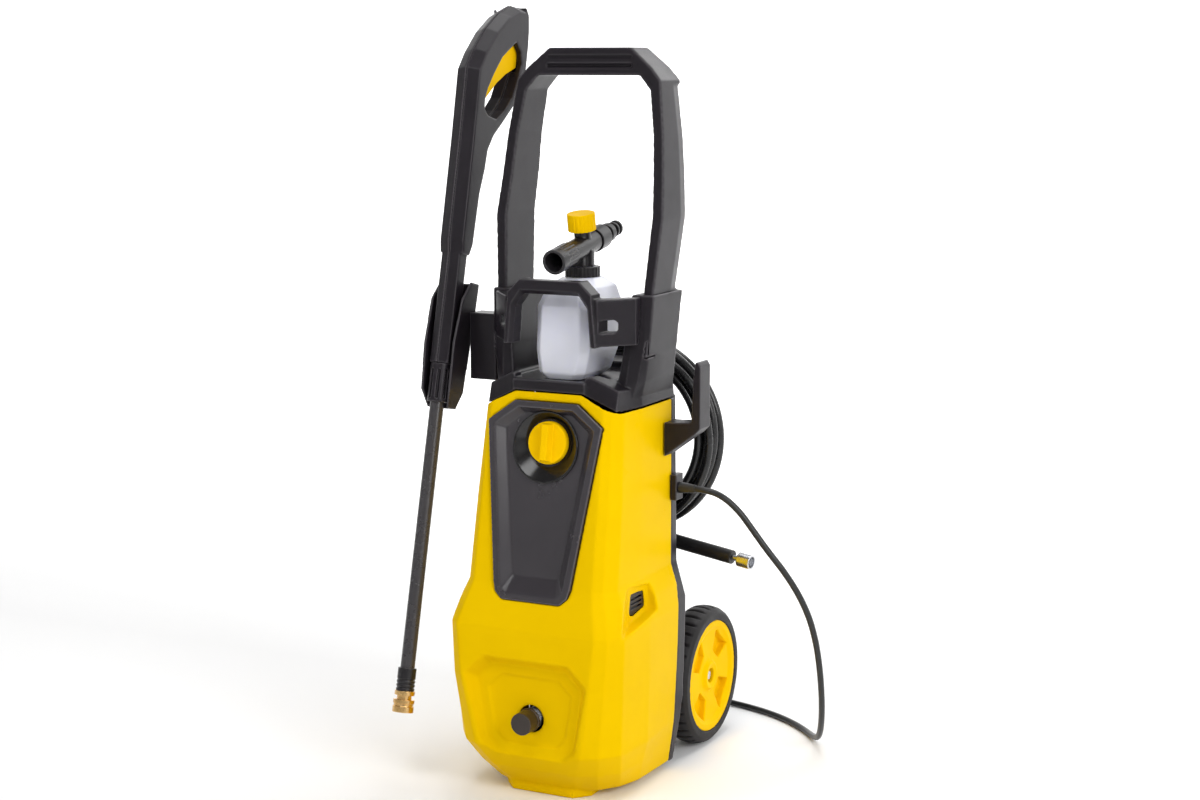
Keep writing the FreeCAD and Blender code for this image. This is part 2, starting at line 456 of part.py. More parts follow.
# ------------------------------------------------------------ gun holster
def hl(w, x0, x1, v0, v1, vb):
    """U section, open to the front"""
    return [(x0, v0, w), (x0 + 3, v0, w), (x0 + 3, vb - 3, w), (x1 - 3, vb - 3, w), (x1 - 3, v1, w), (x1, v1, w), (x1, vb, w), (x0, vb, w)]
ho = Part.makeLoft([wire(hl(w, x0, x1, v0, v1, vb)) for w, x0, x1, v0, v1, vb in [
    (-14, -14, 14, 2, 2, 20), (6, -19.5, 19.5, -8, -8, 24), (60, -20.5, 20.5, -11, -11, 27), (112, -21.5, 21.5, -4, -4, 29), (134, -21.5, 21.5, 12, 12, 30)]], True, True)
put("gun_holster", gun(ho))
bk = box(-133.0, -99.2, -20, 6, 458, 535)
put("holster_bracket", bk.cut(box(-129.5, -103, -10, 20, 462, 531)).cut(tc).cut(hb))

# ------------------------------------------------------------ wheels
def tyre(x0, sgn):
    xo = x0
    prof = [(63.4, 0), (76.5, 0), (80.5, 3.5), (83, 8.5), (WHEEL_R, 14), (WHEEL_R, WHEEL_W - 14), (83, WHEEL_W - 8.5), (80.5, WHEEL_W - 3.5), (76.5, WHEEL_W), (63.4, WHEEL_W)]
    f = Part.Face(wire([(xo + sgn * w, WHEEL_Y + r, WHEEL_R) for r, w in prof]))
    t = f.revolve(V(xo, WHEEL_Y, WHEEL_R), V(1, 0, 0), 360)
    for k in range(36):
        a = math.radians(10 * k)
        b = Part.makeBox(WHEEL_W + 2, 4.2, 6.0, V(min(xo, xo + sgn * WHEEL_W) - 1, -2.1, WHEEL_R - 3.4))
        b.Placement = FreeCAD.Placement(V(0, WHEEL_Y, WHEEL_R), FreeCAD.Rotation(V(1, 0, 0), math.degrees(a))).multiply(b.Placement)
        t = t.cut(b)
    return t


def rim(x0, sgn):
    """wheel disc from its outer face at x0 inward"""
    prof = [(9.0, 3), (16, 1.5), (20, 6.0), (55, 4.0), (60.5, 1.0), (67.5, 1.0), (67.5, 5), (63.2, 5), (63.2, WHEEL_W - 2), (60.2, WHEEL_W - 2), (60.2, 15.5), (18, 16.5), (18, WHEEL_W - 0.5), (9.0, WHEEL_W - 0.5)]
    f = Part.Face(wire([(x0 + sgn * w, WHEEL_Y + r, WHEEL_R) for r, w in prof]))
    t = f.revolve(V(x0, WHEEL_Y, WHEEL_R), V(1, 0, 0), 360)
    for k in range(4):
        a = 51 + 90 * k
        w = Part.Face(wire([(x0 + sgn * -2, -11, 29), (x0 + sgn * -2, 11, 29), (x0 + sgn * -2, 20, 53), (x0 + sgn * -2, -20, 53)])).extrude(V(sgn * 15.5, 0, 0))
        w.Placement = FreeCAD.Placement(V(0, WHEEL_Y, WHEEL_R), FreeCAD.Rotation(V(1, 0, 0), a))
        t = t.cut(w)
    return t.cut(cyl(AXLE_R + 0.3, (x0 - 60, WHEEL_Y, WHEEL_R), (1, 0, 0), 120))


for nm, sg in (("right", 1), ("left", -1)):
    xo = sg * WHEEL_OUT
    ty = tyre(xo, -sg)
    ty = ty.cut(tube(67.7, 40, (xo - (0 if sg < 0 else 5.1), WHEEL_Y, WHEEL_R), (1, 0, 0), 5.1))
    put("tyre_" + nm, ty)
    put("rim_" + nm, rim(xo, -sg))
put("axle", cyl(AXLE_R, (-WHEEL_OUT + 5.6, WHEEL_Y, WHEEL_R), (1, 0, 0), 2 * WHEEL_OUT - 11.2))

# ------------------------------------------------------------ motor and pump
put("motor_stator", tube(48, 30.4, (0, MOTOR_Y, 236), (0, 0, 1), 96))
put("motor_rotor", fuse(cyl(29.8, (0, MOTOR_Y, 246), (0, 0, 1), 76), cyl(6.0, (0, MOTOR_Y, 190), (0, 0, 1), 174)))
bt = tube(50, 44, (0, MOTOR_Y, 332), (0, 0, 1), 6).fuse(cyl(50, (0, MOTOR_Y, 338), (0, 0, 1), 8)).cut(cyl(6.05, (0, MOTOR_Y, 330), (0, 0, 1), 20))
put("motor_end_bell", bt)
fan = cyl(12, (0, MOTOR_Y, 350), (0, 0, 1), 14).cut(cyl(6.0, (0, MOTOR_Y, 349), (0, 0, 1), 17))
fan = fan.fuse(tube(38, 11, (0, MOTOR_Y, 350), (0, 0, 1), 2))
for k in range(9):
    b = box(11, 37, -1, 1, 351.5, 364)
    b.Placement = FreeCAD.Placement(V(0, MOTOR_Y, 0), FreeCAD.Rotation(V(0, 0, 1), 40 * k))
    fan = fan.fuse(b)
put("motor_fan", fan)
put("start_capacitor", cyl(17, (-52, 26, 372), (0, 0, 1), 50))
pg = cyl(46, (0, MOTOR_Y, 158), (0, 0, 1), 78).cut(cyl(40, (0, MOTOR_Y, 164), (0, 0, 1), 50)).cut(cyl(6.05, (0, MOTOR_Y, 200), (0, 0, 1), 50))
for k in range(3):
    a = math.radians(120 * k + 90)
    pg = pg.cut(cyl(7.03, (24 * math.cos(a), MOTOR_Y + 24 * math.sin(a), 150), (0, 0, 1), 30))
put("pump_gear_case", pg)
# swash plate, slanted face towards the pistons
sp = cyl(34, (0, MOTOR_Y, 191), (0, 0, 1), 16).cut(cyl(6.0, (0, MOTOR_Y, 180), (0, 0, 1), 40))
sp = sp.cut(prism_xz([(-60, 180), (60, 180), (60, 199.5), (-60, 187.5)], -60, 60))
put("swash_plate", sp)
put("pump_pistons", Part.makeCompound([cyl(7.0, (24 * math.cos(math.radians(120 * k + 90)), MOTOR_Y + 24 * math.sin(math.radians(120 * k + 90)), 132), (0, 0, 1), 50) for k in range(3)]))
ph = cyl(44, (0, MOTOR_Y, 66), (0, 0, 1), 91.8)
for k in range(3):
    a = math.radians(120 * k + 90)
    ph = ph.cut(cyl(7.2, (24 * math.cos(a), MOTOR_Y + 24 * math.sin(a), 120), (0, 0, 1), 50))
ph = ph.cut(cyl(4.5, (0, -60, OUTLET_Z), (0, 1, 0), 60)).cut(cyl(6.0, (0, 0, 140 - 44), (0, 1, 0), 60))
put("pump_head", ph)
put("pump_mount", prism_xy([(-50, -60), (50, -60), (50, 48), (-50, 48)], 10.8, 16).fuse(tube(42, 34, (0, MOTOR_Y, 16), (0, 0, 1), 49.8)))
op = fuse(cyl(7.0, (0, -118, OUTLET_Z), (0, 1, 0), 74.6), cyl(12.0, (0, -119, OUTLET_Z), (0, 1, 0), 6), cyl(9.4, (0, -134, OUTLET_Z), (0, 1, 0), 17))
op = op.cut(cyl(4.5, (0, -140, OUTLET_Z), (0, 1, 0), 110))
put("outlet_fitting", op.cut(ph))
cap = cyl(12.6, (0, -147, OUTLET_Z), (0, 1, 0), 21).cut(cyl(9.9, (0, -144, OUTLET_Z), (0, 1, 0), 30))
put("outlet_cap", cap.fuse(tube(13.6, 12.4, (0, -129.5, OUTLET_Z), (0, 1, 0), 3)))
wi = fuse(cyl(8.0, (0, 47, 168), (0, 1, 0), 72), cyl(13.2, (0, 119, 168), (0, 1, 0), 20), cyl(16.5, (0, 118.3, 168), (0, 1, 0), 3))
wi = wi.cut(cyl(6.0, (0, 40, 168), (0, 1, 0), 110)).cut(cyl(9.0, (0, 128, 168), (0, 1, 0), 20))
wi = wi.fuse(fuse(cyl(7.5, (0, 55, 88), (0, 0, 1), 80), cyl(7.5, (0, 44.2, OUTLET_Z), (0, 1, 0), 14)).cut(cyl(4.5, (0, 55, 92), (0, 0, 1), 76)).cut(cyl(4.5, (0, 40, OUTLET_Z), (0, 1, 0), 15))) 
wi = wi.cut(cyl(4.5, (0, 55, 92), (0, 0, 1), 76))
put("water_inlet", wi)

# ------------------------------------------------------------ hooks, clip, cords
put("hose_hook_right", prism_xz([(92.2, 376), (96, 379), (130, 404), (137, 411), (137, 482), (134, 487), (130.5, 487), (128, 470), (126, 418), (104, 416), (92.2, 416)], 28, 56))
rh = fuse(prism_xz([(-16, 430), (16, 430), (16, 470), (-16, 470)], 110.2, 114), prism_yz([(112, 446), (166, 452), (168, 500), (162, 500), (158.5, 458.5), (112, 454.5)], -13, 13))
put("hose_hook_rear", rh)
cl = box(91.6, 99.5, 47, 66, 322, 352).cut(cyl(CORD_D / 2 + 0.02, (80, 57, 336), (1, 0, 0), 40))
put("cord_clip", cl)
gland = Part.makeCone(6.6, 4.6, 20, V(99.5, 57, 336), V(1, 0, 0)).cut(cyl(CORD_D / 2, (90, 57, 336), (1, 0, 0), 60))
put("cord_strain_relief", gland)

CORD_ROUTE = [
    (110.0, 57.0, 336.0), (131.0, 57.0, 336.4), (151.0, 61.6, 329.9), (169.5, 68.0, 312.5), (184.8, 71.6, 291.2),
    (201.6, 76.6, 267.2), (219.5, 83.6, 243.2), (234.1, 93.6, 215.5), (243.8, 104.6, 185.5), (248.2, 115.4, 153.2),
    (248.9, 126.2, 120.8), (246.8, 139.0, 88.6), (242.0, 154.5, 58.5), (234.0, 173.0, 31.5), (222.0, 197.0, 12.5),
    (205.0, 223.0, 4.4), (182.0, 248.0, 3.9), (154.0, 270.0, 3.9), (122.0, 288.0, 3.9), (88.0, 300.5, 3.9), (55.0, 307.5, 4.4), (24.0, 305.5, 8.0),
]


def route_tube(pts, r, tag):
    """straight runs joined by tangent arcs"""
    P = [V(*p) for p in pts]
    edges = []
    last = P[0]
    radii = []
    for k in range(1, len(P) - 1):
        a, b, c = P[k - 1], P[k], P[k + 1]
        u = (a - b).normalize()
        w = (c - b).normalize()
        run = min((a - b).Length, (c - b).Length)
        turn = math.pi - u.getAngle(w)
        t = 0.45 * run
        rad = t / math.tan(turn / 2)
        radii.append(round(rad))
        p1, p2 = b + u * t, b + w * t
        bis = (u + w).normalize()
        mid = b + bis * (rad / math.cos(turn / 2) - rad)
        edges.append(Part.LineSegment(last, p1).toShape())
        edges.append(Part.Arc(p1, mid, p2).toShape())
        last = p2
    edges.append(Part.LineSegment(last, P[-1]).toShape())
    path = Part.Wire(edges)
    d = (P[1] - P[0]).normalize()
    prof = Part.Wire(Part.makeCircle(r, P[0], d))
    s = path.makePipeShell([prof], True, False, 2)
    want = math.pi * r * r * path.Length
    print(tag, "radii", radii, "length %.0f" % path.Length, "volume ratio %.4f" % (s.Volume / want), "valid", s.isValid())
    return s


put("power_cord", route_tube(CORD_ROUTE, CORD_D / 2, "power_cord"))
prof = [(CORD_COIL_RI, 0.05), (CORD_COIL_RO, 0.05), (CORD_COIL_RO, CORD_COIL_H - 4), (CORD_COIL_RO - 4, CORD_COIL_H), (CORD_COIL_RI + 4, CORD_COIL_H), (CORD_COIL_RI, CORD_COIL_H - 4)]
cc_ = Part.Face(wire([(CORD_COIL[0] + r, CORD_COIL[1], z) for r, z in prof])).revolve(V(CORD_COIL[0], CORD_COIL[1], 0), V(0, 0, 1), 360)
put("power_cord_coil", cc_.cut(SHAPES["power_cord"]))
plug = fuse(cyl(17.5, (CORD_COIL[0] - 2, CORD_COIL[1] - 4, CORD_COIL_H + 18), (0, 1, 0), 22),
            Part.makeCone(12, 6, 24, V(CORD_COIL[0] - 2, CORD_COIL[1] + 18, CORD_COIL_H + 18), V(0, 1, 0)),
            cyl(2.4, (CORD_COIL[0] - 11.5, CORD_COIL[1] - 23, CORD_COIL_H + 18), (0, 1, 0), 20),
            cyl(2.4, (CORD_COIL[0] + 7.5, CORD_COIL[1] - 23, CORD_COIL_H + 18), (0, 1, 0), 20))
put("mains_plug", plug)

hx, hy, hz = COIL_HANG
prof = [(COIL_HANG_RI, 7), (COIL_HANG_RI + 5, 0), (COIL_HANG_RO - 5, 0), (COIL_HANG_RO, 7), (COIL_HANG_RO, 29), (COIL_HANG_RO - 5, 36), (COIL_HANG_RI + 5, 36), (COIL_HANG_RI, 29)]
hc = Part.Face(wire([(hx + r, hy - 18 + y, hz) for r, y in prof])).revolve(V(hx, hy, hz), V(0, 1, 0), 360)
SD = V(85.0, -14.0, -9.5).normalize()
sp1 = V(143.0, 113.0, 246.0)
sl = Part.makeCylinder(8.3, 118, sp1 - SD * 118, SD)
put("hose_sleeve", sl)
put("hose_coil", hc.cut(sl))
put("hose_stem", Part.makeCylinder(3.2, 16.8, sp1, SD))
sp2 = sp1 + SD * 9
nut = Part.makeCylinder(8.6, 17, sp2, SD).cut(Part.makeCylinder(3.26, 30, sp1, SD)).cut(Part.makeCylinder(6.6, 12, sp2 + SD * 8, SD))
put("hose_nut", nut)
# other end of the hose, on the back of the coil
put("hose_gun_end", fuse(Part.makeCylinder(8.3, 46, V(hx - 34, hy + 26.5, hz - 108), V(1, 0, 0)),
                         Part.makeCylinder(6.0, 22, V(hx + 12, hy + 26.5, hz - 108), V(1, 0, 0))))

for name, s in SHAPES.items():
    solids = s.Solids
    ok = s.isValid() and all(x.Volume > 0 for x in solids)
    if not ok or len(solids) != 1:
        print("note", name, "solids", len(solids), "valid", s.isValid())
    s.exportStep("parts/" + name + ".step")
print(len(SHAPES), "nodes")
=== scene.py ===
import json
import math

import bmesh
import bpy
from mathutils import Matrix, Vector


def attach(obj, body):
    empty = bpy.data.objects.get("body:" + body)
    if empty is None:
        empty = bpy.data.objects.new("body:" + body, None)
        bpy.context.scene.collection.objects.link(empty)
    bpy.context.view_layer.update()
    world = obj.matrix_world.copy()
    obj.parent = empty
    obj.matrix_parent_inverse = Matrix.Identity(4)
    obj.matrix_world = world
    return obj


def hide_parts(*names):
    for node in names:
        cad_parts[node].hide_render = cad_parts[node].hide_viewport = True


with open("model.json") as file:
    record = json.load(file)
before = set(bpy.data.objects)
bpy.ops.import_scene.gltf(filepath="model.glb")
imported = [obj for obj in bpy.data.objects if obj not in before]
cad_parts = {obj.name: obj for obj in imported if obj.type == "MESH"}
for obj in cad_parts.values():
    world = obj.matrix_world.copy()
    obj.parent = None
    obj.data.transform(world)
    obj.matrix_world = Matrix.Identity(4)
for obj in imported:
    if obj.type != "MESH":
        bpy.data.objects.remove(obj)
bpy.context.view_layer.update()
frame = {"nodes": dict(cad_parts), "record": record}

N = frame["nodes"]
BODY_OF = {n: b for b, ns in frame["record"]["behaviour"]["bodies"].items() for n in ns}
SCN = bpy.context.scene
SCN.view_settings.view_transform = "Standard"

# ------------------------------------------------------------------ camera
AZ, EL, DIST = math.radians(26.5), math.radians(9.1), 2.467
AIM = Vector((0.0, 0.050, 0.432))
FWD = Vector((-math.sin(AZ) * math.cos(EL), math.cos(AZ) * math.cos(EL), -math.sin(EL)))
cam_data = bpy.data.cameras.new("camera")
cam_data.lens = 63.54
cam_data.sensor_width = 36.0
cam = bpy.data.objects.new("camera", cam_data)
cam.location = AIM - FWD * DIST
cam.rotation_euler = FWD.to_track_quat("-Z", "Y").to_euler()
SCN.collection.objects.link(cam)
SCN.camera = cam


# ------------------------------------------------------------------ materials
class Nodes:
    """small helper that builds a node tree"""

    def __init__(self, name):
        self.m = bpy.data.materials.new(name)
        self.m.use_nodes = True
        self.t = self.m.node_tree
        self.t.nodes.clear()
        self.out = self.add("ShaderNodeOutputMaterial")
        self.b = self.add("ShaderNodeBsdfPrincipled")
        self.link(self.b, "BSDF", self.out, "Surface")
        self.co = self.add("ShaderNodeTexCoord")

    def add(self, kind, **kw):
        n = self.t.nodes.new(kind)
        for k, v in kw.items():
            setattr(n, k, v)
        return n

    def link(self, a, ao, b, bi):
        self.t.links.new(a.outputs[ao], b.inputs[bi])

    def noise(self, scale, detail=3.0, rough=0.5, stretch=None):
        n = self.add("ShaderNodeTexNoise")
        n.inputs["Scale"].default_value = scale
        n.inputs["Detail"].default_value = detail
        n.inputs["Roughness"].default_value = rough
        if stretch:
            m = self.add("ShaderNodeMapping")
            m.inputs["Scale"].default_value = stretch
            self.link(self.co, "Object", m, "Vector")
            self.link(m, "Vector", n, "Vector")
        else:
            self.link(self.co, "Object", n, "Vector")
        return n

    def cells(self, scale):
        n = self.add("ShaderNodeTexVoronoi")
        n.inputs["Scale"].default_value = scale
        self.link(self.co, "Object", n, "Vector")
        return n

    def ramp(self, src, out, pts):
        r = self.add("ShaderNodeValToRGB")
        el = r.color_ramp.elements
        while len(el) < len(pts):
            el.new(0.5)
        for e, (p, c) in zip(el, pts):
            e.position = p
            e.color = c if len(c) == 4 else (*c, 1)
        self.link(src, out, r, "Fac")
        return r

    def to_range(self, src, out, lo, hi):
        r = self.add("ShaderNodeMapRange")
        r.inputs["From Min"].default_value = 0.3
        r.inputs["From Max"].default_value = 0.7
        r.inputs["To Min"].default_value = lo
        r.inputs["To Max"].default_value = hi
        self.link(src, out, r, "Value")
        return r

    def bump(self, pairs):
        """stacked bumps: (node, output, distance, strength)"""
        last = None
        for src, out, dist, strength in pairs:
            b = self.add("ShaderNodeBump")
            b.inputs["Distance"].default_value = dist
            b.inputs["Strength"].default_value = strength
            self.link(src, out, b, "Height")
            if last:
                self.link(last, "Normal", b, "Normal")
            last = b
        self.link(last, "Normal", self.b, "Normal")


def grain_plastic(name, dark, light, rough_lo, rough_hi, grain=2600.0, depth=0.00006, edge_highlight=None, coat=0.0, spec=0.5, tint=(1.0, 1.0, 1.0)):
    m = Nodes(name)
    blot = m.noise(9.0, 4.0, 0.55)
    col = m.ramp(blot, "Fac", [(0.30, dark), (0.72, light)])
    # painted highlight: convex edges (high pointiness) are lightened towards the edge colour; painted shade: hollows
    # (low pointiness) are darkened down to a quarter
    if edge_highlight:
        geo = m.add("ShaderNodeNewGeometry")
        edge_highlight_mask = m.ramp(geo, "Pointiness", [(0.508, (0, 0, 0)), (0.56, (1, 1, 1))])
        cavity_shade_mask = m.ramp(geo, "Pointiness", [(0.44, (0.25, 0.25, 0.25)), (0.495, (1, 1, 1))])
        mix = m.add("ShaderNodeMix", data_type="RGBA")
        m.link(edge_highlight_mask, "Color", mix, "Factor")
        m.t.links.new(col.outputs["Color"], mix.inputs[6])
        mix.inputs[7].default_value = (*edge_highlight, 1)
        cavity_shade_multiply = m.add("ShaderNodeMix", data_type="RGBA", blend_type="MULTIPLY")
        cavity_shade_multiply.inputs[0].default_value = 1.0
        m.t.links.new(mix.outputs[2], cavity_shade_multiply.inputs[6])
        m.t.links.new(cavity_shade_mask.outputs["Color"], cavity_shade_multiply.inputs[7])
        m.t.links.new(cavity_shade_multiply.outputs[2], m.b.inputs["Base Color"])
    else:
        m.link(col, "Color", m.b, "Base Color")
    rn = m.noise(38.0, 5.0, 0.6)
    m.link(m.to_range(rn, "Fac", rough_lo, rough_hi), "Result", m.b, "Roughness")
    m.b.inputs["Specular IOR Level"].default_value = spec
    m.b.inputs["Specular Tint"].default_value = (*tint, 1)
    if coat:
        m.b.inputs["Coat Weight"].default_value = coat
        m.b.inputs["Coat Roughness"].default_value = 0.12
    g = m.noise(grain, 2.0, 0.6)
    wavy = m.noise(26.0, 2.0, 0.5)
    m.bump([(g, "Fac", depth, 0.55), (wavy, "Fac", 0.0004, 0.05)])
    return m.m


M_YELLOW = grain_plastic("yellow_moulded", (0.760, 0.474, 0.0006), (0.805, 0.512, 0.0009), 0.27, 0.35, 1500.0, 0.000022, None, 0.0, 0.012, (1.0, 0.62, 0.02))
M_YELLOW2 = grain_plastic("yellow_small_parts", (0.86, 0.50, 0.0012), (0.91, 0.555, 0.0018), 0.32, 0.42, 1800.0, 0.000030, None, 0.0, 0.014, (1.0, 0.62, 0.02))
# the tuple after the grain depth in these calls is a painted edge highlight colour; these calls also paint shade into
# hollows
M_BLACK = grain_plastic("black_grained", (0.0100, 0.0082, 0.0108), (0.0160, 0.0132, 0.0172), 0.30, 0.38, 2300.0, 0.000050, (0.075, 0.069, 0.076), 0.0, 0.21)
M_BLACK_S = grain_plastic("black_smooth", (0.0080, 0.0070, 0.0082), (0.0125, 0.0110, 0.0127), 0.26, 0.36, 2600.0, 0.000035, (0.04, 0.037, 0.04), 0.0, 0.42)
M_PANEL = grain_plastic("panel_black", (0.0280, 0.0240, 0.0285), (0.0350, 0.0305, 0.0358), 0.22, 0.28, 3000.0, 0.00002, (0.12, 0.11, 0.12), 0.0, 0.60)
M_DIAL = grain_plastic("dial_black", (0.006, 0.0055, 0.006), (0.009, 0.0083, 0.009), 0.14, 0.22, 3000.0, 0.00001)
M_BROWN = grain_plastic("cap_brown_black", (0.018, 0.011, 0.008), (0.028, 0.018, 0.013), 0.34, 0.46, 2400.0, 0.00005, (0.07, 0.045, 0.03))
M_TYRE = grain_plastic("tyre_rubber", (0.0080, 0.0072, 0.0078), (0.016, 0.0142, 0.0150), 0.50, 0.68, 1900.0, 0.00010, (0.035, 0.032, 0.034), 0.0, 0.34)
M_CORD = grain_plastic("cord_sheath", (0.008, 0.008, 0.0085), (0.012, 0.012, 0.0125), 0.30, 0.40, 2600.0, 0.00003)
M_HOSE = grain_plastic("hose_sheath", (0.006, 0.006, 0.0065), (0.010, 0.010, 0.0105), 0.22, 0.30, 2600.0, 0.00003)
M_RUBBER = grain_plastic("rubber_sleeve", (0.007, 0.0065, 0.007), (0.011, 0.0105, 0.011), 0.38, 0.50, 2200.0, 0.00006)


def metal(name, a, b, lo, hi, scale=900.0, depth=0.00003, stretch=(1, 1, 1)):
    m = Nodes(name)
    blot = m.noise(60.0, 4.0, 0.6)
    col = m.ramp(blot, "Fac", [(0.3, a), (0.75, b)])
    m.link(col, "Color", m.b, "Base Color")
    m.b.inputs["Metallic"].default_value = 1.0
    line = m.noise(scale, 2.0, 0.5, stretch)
    m.link(m.to_range(line, "Fac", lo, hi), "Result", m.b, "Roughness")
    m.bump([(line, "Fac", depth, 0.4)])
    return m.m


M_BRASS = metal("brass_turned", (0.62, 0.36, 0.12), (0.86, 0.60, 0.28), 0.18, 0.32, 500.0, 0.00003, (1, 1, 8))
M_STEEL = metal("steel_machined", (0.52, 0.53, 0.55), (0.75, 0.76, 0.79), 0.20, 0.34, 700.0, 0.00003, (6, 1, 1))
M_ALU = metal("aluminium_cast", (0.50, 0.50, 0.52), (0.66, 0.66, 0.68), 0.38, 0.52, 1200.0, 0.00008)
M_COPPER = metal("motor_lamination", (0.20, 0.19, 0.19), (0.33, 0.31, 0.30), 0.35, 0.5, 900.0, 0.00005, (1, 1, 20))
# (0.04, 0.037, 0.04) is a painted edge highlight colour; this call also paints shade into hollows
M_TUBE = grain_plastic("lance_coat", (0.010, 0.009, 0.0105), (0.016, 0.0145, 0.0165), 0.24, 0.32, 1800.0, 0.00003, (0.04, 0.037, 0.04))


def bottle_material():
    m = Nodes("bottle_milky")
    n = m.noise(14.0, 3.0, 0.5)
    col = m.ramp(n, "Fac", [(0.3, (0.80, 0.81, 0.93)), (0.7, (0.88, 0.89, 0.98))])
    m.link(col, "Color", m.b, "Base Color")
    m.b.inputs["Roughness"].default_value = 0.30
    m.b.inputs["Transmission Weight"].default_value = 0.18
    m.b.inputs["Subsurface Weight"].default_value = 0.35
    m.b.inputs["Subsurface Radius"].default_value = (0.012, 0.012, 0.015)
    m.b.inputs["IOR"].default_value = 1.50
    f = m.noise(700.0, 2.0, 0.5)
    w = m.noise(45.0, 2.0, 0.5)
    m.bump([(f, "Fac", 0.00002, 0.4), (w, "Fac", 0.0006, 0.12)])
    return m.m


M_BOTTLE = bottle_material()


# ------------------------------------------------------------------ mesh helpers
def link(obj):
    SCN.collection.objects.link(obj)
    return obj


def evaluated(obj):
    dg = bpy.context.evaluated_depsgraph_get()
    me = bpy.data.meshes.new_from_object(obj.evaluated_get(dg), preserve_all_data_layers=False, depsgraph=dg)
    return me


def smooth(me, on=True):
    me.polygons.foreach_set("use_smooth", [on] * len(me.polygons))
    me.update()


def finish_piece(obj, mat, body, *nodes):
    obj.data.materials.clear()
    obj.data.materials.append(mat)
    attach(obj, body)
    if nodes:
        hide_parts(*nodes)
    return obj


def welded(me):
    bm = bmesh.new()
    bm.from_mesh(me)
    bmesh.ops.remove_doubles(bm, verts=bm.verts, dist=2e-6)
    bm.to_mesh(me)
    bm.free()
    return me


def rounded(node, mat, voxel=0.0012, iters=6, name=None, decimate=None, post=None):
    """moulded version of a CAD node: its edges rounded to a few voxels"""
    me = welded(N[node].data.copy())
    o = link(bpy.data.objects.new(name or (node + "_moulded"), me))
    r = o.modifiers.new("r", "REMESH")
    r.mode = "VOXEL"
    r.voxel_size = voxel
    r.adaptivity = 0.0
    s = o.modifiers.new("s", "SMOOTH")
    s.factor = 0.5
    s.iterations = iters
    if decimate:
        d = o.modifiers.new("d", "DECIMATE")
        d.ratio = decimate
    new = evaluated(o)
    o.modifiers.clear()
    o.data = new
    if post:
        post(o)
    smooth(new)
    return finish_piece(o, mat, BODY_OF[node], node)


def cad(node, mat, angle=35.0):
    """CAD node kept as it is, with a finished material"""
    o = N[node]
    o.data.materials.clear()
    o.data.materials.append(mat)
    return o


# ------------------------------------------------------------------ shells
rounded("front_cover", M_YELLOW, 0.0012, 22)
rounded("rear_cover", M_BLACK, 0.0014, 5)
rounded("top_casing", M_BLACK, 0.0012, 6)
rounded("handle_loop", M_BLACK, 0.0012, 14)
rounded("bottle_cradle", M_BLACK, 0.0010, 6)
rounded("control_panel", M_PANEL, 0.0008, 16)
rounded("dial_ring", M_DIAL, 0.0008, 4)
rounded("switch_knob", M_YELLOW2, 0.0007, 5)
rounded("gun_shell_right", M_BLACK, 0.0010, 8)
rounded("gun_shell_left", M_BLACK, 0.0010, 8)
rounded("gun_trigger", M_YELLOW2, 0.0008, 6)
rounded("gun_holster", M_BLACK, 0.0010, 5)
rounded("holster_bracket", M_BLACK, 0.0010, 5)
rounded("hose_hook_right", M_BLACK, 0.0010, 7)
rounded("hose_hook_rear", M_BLACK, 0.0010, 7)
rounded("foam_bottle", M_BOTTLE, 0.0009, 16)
rounded("foam_head", M_BLACK_S, 0.0007, 5)
rounded("foam_nozzle", M_BLACK_S, 0.0006, 4)
rounded("foam_knob", M_YELLOW2, 0.0006, 4)
rounded("foam_inlet_adapter", M_BLACK_S, 0.0006, 4)
rounded("bottle_collar", M_BLACK_S, 0.0006, 4)
rounded("outlet_cap", M_BROWN, 0.0005, 4)
rounded("lance_connector", M_BLACK, 0.0007, 4)
rounded("lance_tip_collar", M_BLACK_S, 0.0005, 4)
rounded("cord_clip", M_BLACK, 0.0006, 4)
rounded("cord_strain_relief", M_CORD, 0.0004, 4)
rounded("tyre_right", M_TYRE, 0.0011, 5)
rounded("tyre_left", M_TYRE, 0.0011, 5)
rounded("rim_right", M_YELLOW2, 0.0010, 5)
rounded("rim_left", M_YELLOW2, 0.0010, 5)
rounded("vent_grilles", M_BLACK, 0.0006, 3)
rounded("mains_plug", M_CORD, 0.0006, 6)
rounded("water_inlet", M_BLACK, 0.0009, 4)
for n_ in ("rotary_switch", "motor_end_bell", "motor_fan", "pump_mount", "start_capacitor"):
    cad(n_, M_BLACK_S)
for n_ in ("gun_valve_plug", "gun_hose_inlet", "quick_coupler_body", "quick_coupler_collar"):
    rounded(n_, M_BRASS, 0.0003, 3)
for n_ in ("hose_stem", "hose_nut", "hose_gun_end"):
    rounded(n_, M_STEEL, 0.0004, 3)
for n_ in ("axle", "gun_screws", "motor_rotor", "swash_plate", "pump_pistons", "outlet_fitting"):
    cad(n_, M_STEEL)
cad("motor_stator", M_COPPER)
cad("lance_tube", M_TUBE)
for n_ in ("pump_gear_case", "pump_head", "gun_valve_body"):
    cad(n_, M_ALU)
rounded("hose_sleeve", M_RUBBER, 0.0006, 4)


# ------------------------------------------------------------------ cords
def nurbs(name, pts, radius, mat, body, nodes, res=6):
    cu = bpy.data.curves.new(name, "CURVE")
    cu.dimensions = "3D"
    sp = cu.splines.new("NURBS")
    sp.points.add(len(pts) - 1)
    for p, q in zip(sp.points, pts):
        p.co = (*q, 1.0)
    sp.order_u = 3
    sp.use_endpoint_u = True
    sp.resolution_u = res
    cu.bevel_depth = radius
    cu.bevel_resolution = 5
    cu.use_fill_caps = True
    o = link(bpy.data.objects.new(name, cu))
    o.data.materials.append(mat)
    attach(o, body)
    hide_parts(*nodes)
    return o


